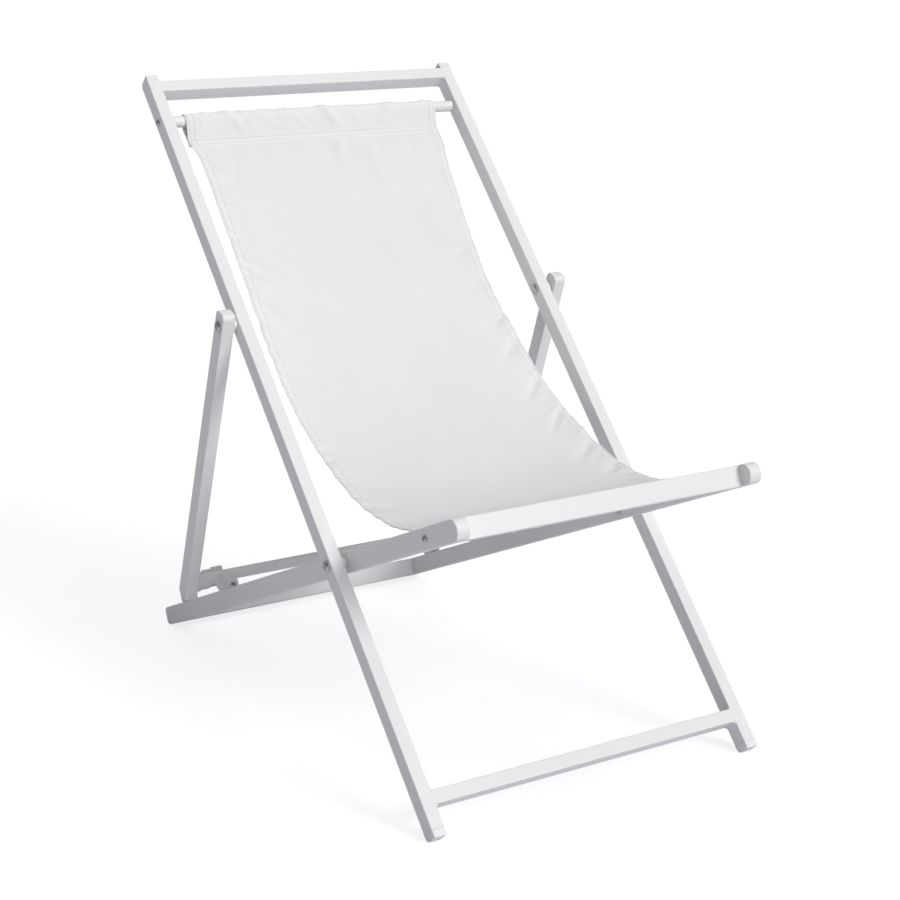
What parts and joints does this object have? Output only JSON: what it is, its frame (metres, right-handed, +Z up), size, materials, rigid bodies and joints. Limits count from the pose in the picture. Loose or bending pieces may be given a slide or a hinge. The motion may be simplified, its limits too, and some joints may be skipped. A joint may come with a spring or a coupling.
{
  "type": "folding sling sun lounger",
  "caption": "White folding sun lounger with a canvas sling between an aluminium back frame and seat frame, set by a rear prop in notched racks.",
  "frame": {"origin": "middle of the lounger's footprint, on the floor", "axes": "+Z up, -Y towards the sitter's feet, +X across the lounger"},
  "size_m": [0.6134, 0.9476, 0.9316],
  "materials": {
    "frame_coat": "white powder coat, satin, fine texture",
    "rod_coat": "white powder coat, satin",
    "cap_plastic": "satin moulded",
    "rack_plastic": "satin moulded",
    "nylon": "satin",
    "steel": "polished stainless",
    "canvas": "close plain weave, matte"
  },
  "bodies": {
    "back_frame": {"back_rail_left": "frame_coat", "back_rail_right": "frame_coat", "back_top_crossbar": "frame_coat", "back_bottom_crossbar": "frame_coat", "back_top_cap_left": "cap_plastic", "back_foot_cap_left": "cap_plastic", "back_top_cap_right": "cap_plastic", "back_foot_cap_right": "cap_plastic", "sling_rod_top": "rod_coat", "top_rod_screw_left": "steel", "top_rod_screw_right": "steel", "sling": "canvas", "main_pivot_bolt_left": "steel", "main_pivot_nut_left": "steel", "main_pivot_spacer_left": "nylon", "main_pivot_bolt_right": "steel", "main_pivot_nut_right": "steel", "main_pivot_spacer_right": "nylon", "prop_pivot_bolt_left": "steel", "prop_pivot_nut_left": "steel", "prop_pivot_spacer_left": "nylon", "prop_pivot_bolt_right": "steel", "prop_pivot_nut_right": "steel", "prop_pivot_spacer_right": "nylon"},
    "seat_frame": {"seat_rail_left": "frame_coat", "seat_rail_right": "frame_coat", "seat_front_crossbar": "frame_coat", "seat_rear_crossbar": "frame_coat", "seat_front_cap_left": "cap_plastic", "seat_rear_cap_left": "cap_plastic", "seat_front_cap_right": "cap_plastic", "seat_rear_cap_right": "cap_plastic", "sling_rod_front": "rod_coat", "front_rod_screw_left": "steel", "front_rod_screw_right": "steel", "rack_left": "rack_plastic", "rack_screw_front_left": "steel", "rack_screw_rear_left": "steel", "rack_right": "rack_plastic", "rack_screw_front_right": "steel", "rack_screw_rear_right": "steel"},
    "prop": {"prop_leg_left": "frame_coat", "prop_leg_right": "frame_coat", "prop_rod": "rod_coat", "prop_top_cap_left": "cap_plastic", "prop_end_cap_left": "cap_plastic", "prop_top_cap_right": "cap_plastic", "prop_end_cap_right": "cap_plastic"}
  },
  "joints": [
    {"name": "seat_fold", "type": "hinge", "parent": "back_frame", "child": "seat_frame", "pos_m": [0, -0.17505, 0.30221], "axis": [1, 0, 0], "range_deg": [0, 70.92], "deforming": ["sling"]},
    {"name": "prop_fold", "type": "hinge", "parent": "back_frame", "child": "prop", "pos_m": [0, 0.1003, 0.59441], "axis": [1, 0, 0], "range_deg": [0, 116.62]}
  ],
  "couplings": [
    {"joint": "prop_fold", "follows": "seat_fold", "ratio": 1.6443}
  ]
}
